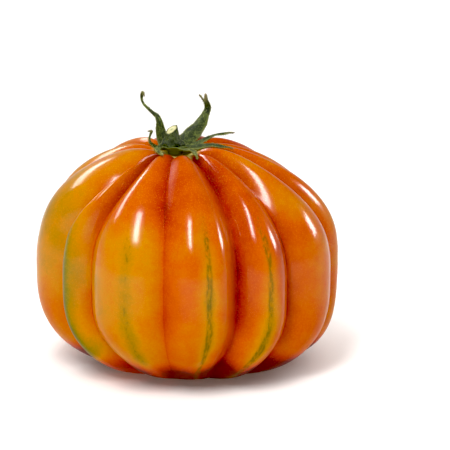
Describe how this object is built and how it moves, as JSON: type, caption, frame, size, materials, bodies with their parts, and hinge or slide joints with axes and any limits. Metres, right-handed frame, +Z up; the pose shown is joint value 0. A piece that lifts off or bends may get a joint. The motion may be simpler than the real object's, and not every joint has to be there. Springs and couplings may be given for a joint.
{
  "type": "ribbed beefsteak tomato",
  "caption": "Whole ribbed tomato as picked, squat and deeply furrowed, with a star of curled green sepals and a cut stem stub, standing on its blossom end.",
  "frame": {"origin": "on the surface it stands on, under the middle of its bounding box", "axes": "+Z up along the fruit's axis to the stem, -Y the front as pictured, +X to the right seen from the front"},
  "size_m": [0.09, 0.0902, 0.0809],
  "materials": {
    "skin": "glossy waxy fruit skin, orange with yellow, green and red flushes",
    "sepals": "matt, finely haired green leaf",
    "stem": "matt green stem with a pale cut end"
  },
  "bodies": {
    "root": {"fruit": "skin", "calyx": "sepals", "stem": "stem"}
  },
  "joints": []
}
